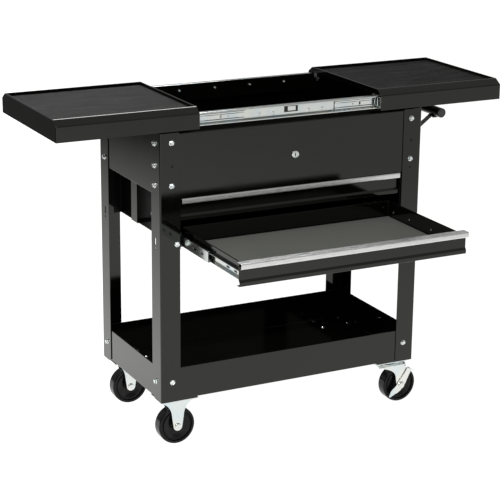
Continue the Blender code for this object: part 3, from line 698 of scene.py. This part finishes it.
def tray_pan(hand, side):
    """Pressed tray: an outer body, hollowed from below and sunk on top."""
    name = hand + "_tray_pan"
    low, high = place(name)
    inner, outer = sorted((abs(low.x), abs(high.x)))
    half, rim, wall = high.y, 0.004, 0.0014
    ridge = half - 0.021
    profile = [(-half, low.z), (-half, TRAY_SHOULDER), (-ridge, high.z), (ridge, high.z),
               (half, TRAY_SHOULDER), (half, low.z)]
    bm = bmesh.new()
    prism(bm, profile, "X", *span(side, inner, outer))
    at_end = [edge for edge in bm.edges if all(abs(vert.co.x - side * outer) < 1e-5 for vert in edge.verts)
              and max(vert.co.z for vert in edge.verts) > low.z + 0.001]
    along = [edge for edge in bm.edges if abs(edge.verts[0].co.x - edge.verts[1].co.x) > 0.1
             and edge.verts[0].co.z > low.z + 0.001]
    bmesh.ops.bevel(bm, geom=at_end + along, offset=0.0024, segments=5, profile=0.5, affect="EDGES")
    hollow = bmesh.new()
    under = low.z - 0.01
    bend, ceiling = TRAY_SHOULDER - 0.0008, TRAY_DECK - wall
    inside = [(-half + wall, under), (-half + wall, bend), (-half + 0.0058, ceiling),
              (half - 0.0058, ceiling), (half - wall, bend), (half - wall, under)]
    prism(hollow, inside, "X", *span(side, inner + 0.003, outer - wall))
    mouth_top = TRAY_SHOULDER - 0.0004
    mouth = [(-half + wall, under), (-half + wall, mouth_top), (half - wall, mouth_top), (half - wall, under)]
    bm = cut(bm, hollow)
    tool = bmesh.new()
    prism(tool, mouth, "X", *span(side, inner - 0.002, inner + 0.0035))
    bm = cut(bm, tool)
    tool = bmesh.new()
    x_low, x_high = span(side, inner + 0.003, outer - 0.004)
    block(tool, (x_low, rim - ridge, TRAY_DECK), (x_high, ridge - rim, high.z + 0.01))
    piece(name + "_steel", cut(bm, tool), ENAMEL, hand + "_tray", [name],
          bevel=0.0007, segments=3)


def tray_mat(hand):
    """Rubber mat with fine ribs along the tray's travel."""
    name = hand + "_tray_mat"
    low, high = place(name)
    pitch, depth = 0.0031, 0.0005
    count = int((high.y - low.y - 0.004) / pitch)
    first = low.y + (high.y - low.y - count * pitch) / 2
    top = []
    for rib in range(count):
        start = first + rib * pitch
        top += [(start, high.z - depth), (start + 0.0006, high.z - 0.0001), (start + 0.0010, high.z),
                (start + 0.0019, high.z), (start + 0.0023, high.z - 0.0001)]
    top.append((first + count * pitch, high.z - depth))
    outline = [(low.y, low.z), (low.y, high.z - depth)] + top + [(high.y, high.z - depth), (high.y, low.z)]
    bm = bmesh.new()
    prism(bm, outline, "X", low.x, high.x)
    piece(name + "_ribbed", bm, MAT, hand + "_tray", [name])


def tray_trim(hand, side):
    """End brackets and rubber stops under a tray's inner edge."""
    inner = min(abs(value.x) for value in place(hand + "_tray_pan"))
    brackets, stops = bmesh.new(), bmesh.new()
    button = [(0.0, 0.0033), (0.0035, 0.0033), (0.0050, 0.0027), (0.0058, 0.0016), (0.0060, 0.0), (0.0, 0.0)]
    for _, side_y in ENDS:
        x_low, x_high = span(side, inner - 0.001, inner + 0.004)
        y_low, y_high = span(side_y, 0.1785, 0.1815)
        block(brackets, (x_low, y_low, 0.8565), (x_high, y_high, 0.8785))
        x, y = side * (inner + 0.0015), side_y * 0.158
        lathe(stops, button, (x, y, 0.8795), "-X" if side > 0 else "X", 28)
        block(stops, (x - 0.0010, y - 0.007, 0.8735), (x + 0.0010, y + 0.007, 0.8885))
    piece(hand + "_tray_brackets", brackets, ZINC, hand + "_tray", bevel=0.0003)
    piece(hand + "_tray_stops", stops, CAP, hand + "_tray", bevel=0.0002)


# ---------------------------------------------------------------- drawers
def drawer_pan(name):
    """Hemmed pan with a folded front skin, its slide rivets and the screws of its pull."""
    low, high = place(name + "_pan")
    face = high.y - 0.351
    lift = low.z - 0.5353
    hem = 0.0032
    z_range = (0.543 + lift, 0.590 + lift - hem / 2)
    bm = tub(bmesh.new(), PAN_HALF_WIDTH, (face + 0.001, high.y), z_range, 0.001, hem, HEM_DROP)
    lip = face - 0.0045
    bottom, top = low.z, 0.5925 + lift
    skin = [(face + 0.009, bottom), (lip, bottom), (lip, bottom + 0.0105), (face, bottom + 0.0155),
            (face, top), (face + 0.008, top)]
    sheet(bm, skin, "X", -high.x, high.x, SHEET, 0.0018, 6)
    piece(name + "_body", bm, ENAMEL, name, [name + "_pan"])
    rivets = bmesh.new()
    for side, out in ((-1, "X"), (1, "-X")):
        for y in (0.030, 0.140, 0.245, 0.325):
            rivet(rivets, (side * (PAN_HALF_WIDTH - 0.001), face + y, 0.5615 + lift), out, 0.0034, 0.0015)
    piece(name + "_rivets", rivets, ZINC, name)
    screws = bmesh.new()
    for x in (-0.288, 0.288):
        rivet(screws, (x, face + 0.0012, 0.574 + lift), "Y", 0.0035, 0.0020)
    piece(name + "_pull_screws", screws, ZINC, name)


def drawer_pull(name):
    """Extruded pull: a rolled front with fine grooves along it, over the drawer's top edge."""
    low, high = place(name + "_pull")
    path = [(low.y + 0.0042, low.z), (low.y, low.z), (low.y, high.z), (high.y, high.z)]
    bm = bmesh.new()
    sheet(bm, path, "X", low.x, high.x, 0.0014, 0.0030, 8)
    grooves = bmesh.new()
    for row in range(3):
        z = low.z + 0.0042 + 0.0030 * row
        groove = [(low.y - 0.0004, z - 0.0004), (low.y + 0.00035, z), (low.y - 0.0004, z + 0.0004)]
        prism(grooves, groove, "X", low.x - 0.001, high.x + 0.001)
    piece(name + "_pull_bar", cut(bm, grooves), ALUMINIUM, name, [name + "_pull"],
          bevel=0.00025)


def drawer_liner(name):
    low, high = place(name + "_liner")
    bm = bmesh.new()
    block(bm, low, high)
    piece(name + "_liner_pad", bm, FOAM, name, [name + "_liner"], bevel=0.0008, segments=3)


def slide_members(name):
    """Cabinet, middle and drawer channels of both slides, with holes, balls and retainers."""
    for hand, side in SIDES:
        cabinet = name + "_cabinet_slide_" + hand
        low, high = place(cabinet)
        middle_z = (low.z + high.z) / 2
        wall, lip = max(abs(low.x), abs(high.x)), min(abs(low.x), abs(high.x))
        shapes = (
            (cabinet, CART, [(-lip, -0.0175), (-wall, -0.0175), (-wall, 0.0175), (-lip, 0.0175)]),
            (name + "_middle_slide_" + hand, name + "_middles",
             [(0.0025 - lip, -0.0145), (0.002 - wall, -0.0145),
              (0.002 - wall, 0.0145), (0.0025 - lip, 0.0145)]),
            (name + "_runner_" + hand, name,
             [(-0.318, 0.0105), (-0.3094, 0.0105), (-0.3094, -0.0105), (-0.318, -0.0105)]),
        )
        for node_name, body, path in shapes:
            first, last = place(node_name)
            bm = bmesh.new()
            points = on_side([(x, middle_z + z) for x, z in path], side)
            sheet(bm, points, "Y", first.y, last.y, 0.001, 0.0018, 4)
            holes = bmesh.new()
            length = last.y - first.y
            for share in (0.10, 0.22, 0.78, 0.92):
                y = first.y + share * length
                slot = arc((y + 0.006, middle_z), 0.0026, -pi / 2, pi / 2, 8)
                slot += arc((y - 0.006, middle_z), 0.0026, pi / 2, 3 * pi / 2, 8)
                prism(holes, slot, "X", *span(side, 0.305, 0.327))
            piece(node_name + "_channel", cut(bm, holes), ZINC, body, [node_name], bevel=0.0002)
        balls, strips = bmesh.new(), bmesh.new()
        first, last = place(name + "_middle_slide_" + hand)
        for z in (middle_z - 0.0124, middle_z + 0.0124):
            ball_row(balls, (side * 0.3160, first.y + 0.008, z), (0.0, 0.010, 0.0), 10, 0.0015)
            ball_row(balls, (side * 0.3160, last.y - 0.098, z), (0.0, 0.010, 0.0), 10, 0.0015)
        for start in (first.y + 0.003, last.y - 0.103):
            for z in (middle_z - 0.0128, middle_z + 0.0122):
                x_low, x_high = span(side, 0.3128, 0.3142)
                block(strips, (x_low, start, z), (x_high, start + 0.100, z + 0.0006))
        piece(name + "_slide_balls_" + hand, balls, BALLS, name + "_middles")
        piece(name + "_slide_strips_" + hand, strips, ZINC, name + "_middles")


# ---------------------------------------------------------------- casters
def caster_bolts():
    bm = bmesh.new()
    for name in CASTER_PLATES:
        low, high = place(name)
        for x in (low.x + 0.0095, high.x - 0.0095):
            for y in (low.y + 0.0095, high.y - 0.0095):
                rivet(bm, (x, y, SHELF_FLOOR + SHEET), "Z", 0.0052, 0.0026)
                hex_bolt(bm, (x, y, 0.1275), "-Z", 0.009, 0.0042, 0.0060)
    piece("caster_bolts", bm, ZINC, CART)


def swept(start, pull, end, steps=10):
    """Points on a curve from start to end that leans towards pull."""
    points = []
    for step in range(steps + 1):
        share = step / steps
        points.append(tuple((1 - share) ** 2 * Vector(start) + 2 * share * (1 - share) * Vector(pull)
                            + share ** 2 * Vector(end)))
    return points


def fork_shell(crown, back, front, axle_x, centre, outer, axle_z):
    """Folded fork: full width at its crown, drawn in to a narrow leg that is rounded round its axle."""
    legs = [(-outer, 0.030), (-outer, crown), (outer, crown), (outer, 0.030)]
    bm = bmesh.new()
    sheet(bm, legs, "X", back - 0.01, front + 0.01, FORK_SHEET, 0.0055, 8)
    waist = axle_z + 0.026
    top = crown + 0.001
    foot = 0.0125
    outline = [(back, top), (front, top)]
    outline += swept((front, crown - 0.006), (axle_x + 0.018, crown - 0.016), (axle_x + 0.0165, waist))
    outline += arc((axle_x, axle_z), foot, 0.0, -pi, 24)
    outline += swept((axle_x - 0.0165, waist), (axle_x - 0.018, crown - 0.016), (back, crown - 0.006))
    trim = bmesh.new()
    prism(trim, outline, "Y", -0.05, 0.05)
    bm = combine(bm, trim, "INTERSECT")
    bmesh.ops.translate(bm, vec=(centre[0], centre[1], 0.0), verts=bm.verts)
    return bm


def wheel(name, body):
    low, high = place(name + "_wheel")
    centre = (low + high) / 2
    radius = (high.z - low.z) / 2
    hub = (high.y - low.y) / 2
    half = [
        (0.0062, hub), (0.0118, hub), (0.0126, hub - 0.0006), (0.0134, 0.0112), (0.0150, 0.0098),
        (0.0200, 0.0106), (0.0280, 0.0122), (0.0360, 0.0144), (0.0380, 0.0146), (0.0388, 0.0138),
        (0.0393, 0.0122), (0.0398, 0.0116),
        (0.0418, 0.0116), (0.0424, 0.0124), (0.0430, 0.0154), (0.0438, 0.0160), (0.0480, 0.0161),
        (0.0494, 0.0155), (0.0503, 0.0143), (radius - 0.0001, 0.0126), (radius, 0.0110),
    ]
    profile = half + [(r, -height) for r, height in reversed(half)]
    bm = bmesh.new()
    lathe(bm, profile, centre, "Y", 72, closed=True)
    piece(name + "_wheel_body", bm, WHEEL, body, [name + "_wheel"], smooth=50.0)
    return centre


def axle(name, body):
    low, high = place(name + "_axle")
    bm = bmesh.new()
    x, z = (low.x + high.x) / 2, (low.z + high.z) / 2
    head, radius = 0.0035, 0.0085
    lathe(bm, [(0.0, high.y - 0.0004), (0.0032, high.y - 0.0004), (0.0036, high.y), (radius - 0.0016, high.y),
               (radius - 0.0003, high.y - 0.0008), (radius, high.y - head), (0.0048, high.y - head),
               (0.0048, low.y + head), (radius, low.y + head), (radius - 0.0003, low.y + 0.0008),
               (radius - 0.0016, low.y), (0.0036, low.y), (0.0032, low.y + 0.0004), (0.0, low.y + 0.0004)],
          (x, 0.0, z), "Y", 32)
    piece(name + "_axle_pin", bm, ZINC, body, [name + "_axle"])


def rigid_caster(end):
    name = end + "_left"
    centre = wheel(name, name + "_wheel")
    low, high = place(name + "_fork")
    back, front = low.x - centre.x + 0.002, high.x - centre.x - 0.002
    bm = fork_shell(high.z - SHEET, back, front, 0.0, centre, FORK_OUTER, centre.z)
    plate = bmesh.new()
    block(plate, (low.x, low.y, high.z - FORK_SHEET), high)
    bm = combine(bm, plate, "UNION")
    hole = bmesh.new()
    rod(hole, centre, "Y", AXLE_HOLE, -0.03, 0.03)
    piece(name + "_fork_steel", cut(bm, hole), ZINC, CART, [name + "_fork"], bevel=0.0005)
    axle(name, CART)


def swivel_caster(end):
    name = end + "_right"
    swivel = name + "_swivel"
    axle_at = wheel(name, name + "_wheel")
    low, high = place(name + "_swivel_plate")
    centre = (low + high) / 2
    crown, top = 0.1155, high.z
    bm = bmesh.new()
    block(bm, (low.x, low.y, top - FORK_SHEET), high)
    race = bmesh.new()
    lathe(race, [(0.0, top - 0.0012), (0.0310, top - 0.0012), (0.0310, top - 0.0032),
                 (0.0298, top - 0.0052), (0.0270, top - 0.0086), (0.0240, 0.1190), (0.0050, 0.1190),
                 (0.0050, 0.1100), (0.0085, 0.1100), (0.0092, 0.1092), (0.0092, 0.1072),
                 (0.0085, 0.1065), (0.0, 0.1065)], (centre.x, centre.y, 0.0), "Z", 48)
    bm = combine(bm, race, "UNION")
    piece(name + "_plate_steel", bm, ZINC, CART, [name + "_swivel_plate"], bevel=0.0005)
    trail = axle_at.x - centre.x
    bm = fork_shell(crown, -0.036, trail + 0.0145, trail, centre, FORK_OUTER, axle_at.z)
    cup = bmesh.new()
    lathe(cup, [(0.0, 0.1182), (0.0225, 0.1182), (0.0252, 0.1176), (0.0268, 0.1162), (0.0270, crown - 0.001),
                (0.0, crown - 0.001)], (centre.x, centre.y, 0.0), "Z", 48)
    bm = combine(bm, cup, "UNION")
    holes = bmesh.new()
    rod(holes, (centre.x, centre.y, crown), "Z", 0.0062, -0.015, 0.015)
    rod(holes, axle_at, "Y", AXLE_HOLE, -0.03, 0.03)
    piece(name + "_fork_steel", cut(bm, holes), ZINC, swivel, [name + "_fork"], bevel=0.0005)
    axle(name, swivel)
    brake(name, axle_at)


def brake(name, axle_at):
    """Bent side lever with a ridged toe below the axle and a short foot pad at its upper end."""
    pivot = Vector((axle_at.x, axle_at.z))
    rise, fall, half_width = 60, -142, 0.008
    upper = [(0.053, -half_width), (0.053, half_width), (0.036, half_width), (0.026, 0.0092), (0.010, 0.0118)]
    toe = [(0.010, -0.0105), (0.022, -0.0082), (0.0225, -0.0098), (0.036, -0.0080), (0.048, 0.0020),
           (0.046, 0.0040), (0.026, 0.0082), (0.0255, 0.0100), (0.010, 0.0115)]
    lower = [(0.010, -0.0105), (0.026, -0.0090), (0.036, -half_width)]
    pad = [(0.053, -half_width), (0.0555, -half_width), (0.0555, half_width), (0.053, half_width)]
    face = axle_at.y - FORK_OUTER - 0.0006

    def lean(degrees, points):
        turn = Matrix.Rotation(radians(degrees), 2)
        return [tuple(turn @ Vector(point) + pivot) for point in points]

    bm, tool, hole, boss = bmesh.new(), bmesh.new(), bmesh.new(), bmesh.new()
    prism(bm, lean(rise, upper) + lean(fall, toe) + lean(rise, lower), "Y", face - 0.0025, face)
    prism(tool, lean(rise, pad), "Y", face - 0.014, face - 0.0005)
    bm = combine(bm, tool, "UNION")
    lathe(boss, [(0.0, 0.0012), (0.0100, 0.0012), (0.0112, 0.0), (0.0112, -0.0020), (0.0, -0.0020)],
          (axle_at.x, face - 0.0025, axle_at.z), "-Y", 36)
    bm = combine(bm, boss, "UNION")
    rod(hole, axle_at, "Y", AXLE_HOLE, -0.04, 0.04)
    piece(name + "_brake_lever", cut(bm, hole), ZINC, name + "_brake", [name + "_brake"],
          bevel=0.0006)


# ---------------------------------------------------------------- studio
YAW, PITCH, ROLL = 0.4740, 0.2946, 0.0101
CAMERA_AT = Vector((-1.9764, -3.7994, 1.7425))
FOCAL_LENGTH = 117.76


def sky():
    """Grey walls that brighten towards the ceiling."""
    world = bpy.data.worlds.new("studio")
    world.use_nodes = True
    tree = world.node_tree
    height = node(tree, "SeparateXYZ", {"Vector": node(tree, "TexCoord").outputs["Generated"]}).outputs["Z"]
    background = tree.nodes["Background"].inputs
    tree.links.new(between(tree, height, 0.26, 0.38, (0.1, 0.85)), background["Strength"])
    background["Color"].default_value = (1.0, 1.0, 1.0, 1.0)
    bpy.context.scene.world = world


def paper():
    """White paper that glows, brightest behind the cart's left end and fading to each side."""
    made, tree, shader = new_material("white_paper")
    seat = node(tree, "TexCoord").outputs["Object"]

    def along(x, y):
        return node(tree, "VectorMath", {0: seat, 1: (x, y, 0.0)}, operation="DOT_PRODUCT").outputs["Value"]

    away = between(tree, along(sin(YAW), cos(YAW)), 0.0, 1.5, (0.0, 9.0))
    aside = along(cos(YAW), -sin(YAW))
    right = node(tree, "Math", {0: aside, 1: away}, operation="SUBTRACT").outputs["Value"]
    mirrored = node(tree, "Math", {0: aside, 1: -1.0}, operation="MULTIPLY").outputs["Value"]
    left = node(tree, "Math", {0: mirrored, 1: away}, operation="SUBTRACT").outputs["Value"]
    fades = {0: between(tree, right, 1.0, 0.72, (1.2, 2.8)), 1: between(tree, left, 1.0, 0.05, (0.7, 2.7))}
    glow = node(tree, "Math", fades, operation="MULTIPLY").outputs["Value"]
    lift = between(tree, left, 1.02, 1.50, (0.15, 0.75))
    tree.links.new(node(tree, "Math", {0: glow, 1: lift}, operation="MULTIPLY").outputs["Value"],
                   shader.inputs["Emission Strength"])
    tree.links.new(mix(tree, glow, (0.01, 0.01, 0.01), (0.08, 0.08, 0.08)), shader.inputs["Base Color"])
    shader.inputs["Emission Color"].default_value = (1.0, 1.0, 0.99, 1.0)
    shader.inputs["Roughness"].default_value = 0.9
    shader.inputs["Specular IOR Level"].default_value = 0.1
    return made


def studio():
    scene = bpy.context.scene
    scene.view_settings.view_transform = "Standard"
    scene.view_settings.look = "None"
    sky()
    bm = bmesh.new()
    reach = 30.0
    bm.faces.new([bm.verts.new(point) for point in ((-reach, -reach, 0), (reach, -reach, 0),
                                                    (reach, reach, 0), (-reach, reach, 0))])
    mesh = bpy.data.meshes.new("floor")
    bm.to_mesh(mesh)
    bm.free()
    floor = bpy.data.objects.new("floor", mesh)
    floor.location = MIDDLE
    scene.collection.objects.link(floor)
    mesh.materials.append(paper())

    for name, at, aim, size, power in (
        ("overhead", (-1.3, -1.1, 3.0), (0.0, 0.0, 0.6), (1.4, 1.4), 30.0),
        ("rim", (0.3, 1.85, 3.1), (-0.2, 0.0, 0.9), (1.8, 0.9), 60.0),
        ("front", (-1.8, -2.6, 2.4), (0.0, 0.0, 0.6), (1.2, 1.2), 18.0),
    ):
        light = bpy.data.lights.new(name, "AREA")
        light.shape = "RECTANGLE"
        light.size, light.size_y = size
        light.energy = power
        lamp = bpy.data.objects.new(name, light)
        lamp.location = MIDDLE + Vector(at)
        lamp.rotation_euler = (Vector(aim) - Vector(at)).to_track_quat("-Z", "Y").to_euler()
        scene.collection.objects.link(lamp)


def camera():
    """Three-quarter view from the front left, just above the trays."""
    ahead = Vector((sin(YAW) * cos(PITCH), cos(YAW) * cos(PITCH), -sin(PITCH)))
    level = Vector((cos(YAW), -sin(YAW), 0.0))
    upright = level.cross(ahead)
    right = level * cos(ROLL) + upright * sin(ROLL)
    up = upright * cos(ROLL) - level * sin(ROLL)
    lens = bpy.data.cameras.new("camera")
    lens.sensor_width = 36.0
    lens.lens = FOCAL_LENGTH
    lens.clip_end = 100.0
    made = bpy.data.objects.new("camera", lens)
    turned = Matrix((right, up, -ahead)).transposed().to_4x4()
    made.matrix_world = Matrix.Translation(MIDDLE + CAMERA_AT) @ turned
    bpy.context.scene.collection.objects.link(made)
    bpy.context.scene.camera = made


# ---------------------------------------------------------------- build
camera()
studio()
paint_cad_nodes()
for end_name, y_sign in ENDS:
    for hand_name, x_sign in SIDES:
        leg(end_name, y_sign, hand_name, x_sign)
        cage(hand_name, x_sign, end_name, y_sign)
    tray_rail(end_name, y_sign)
    rigid_caster(end_name)
    swivel_caster(end_name)
leg_bolts()
lower_shelf()
chest()
chest_fasteners()
lock()
handle()
caster_bolts()
for hand_name, x_sign in SIDES:
    tray_pan(hand_name, x_sign)
    tray_mat(hand_name)
    tray_trim(hand_name, x_sign)
for drawer_name in ("upper_drawer", "lower_drawer"):
    drawer_pan(drawer_name)
    drawer_pull(drawer_name)
    drawer_liner(drawer_name)
    slide_members(drawer_name)
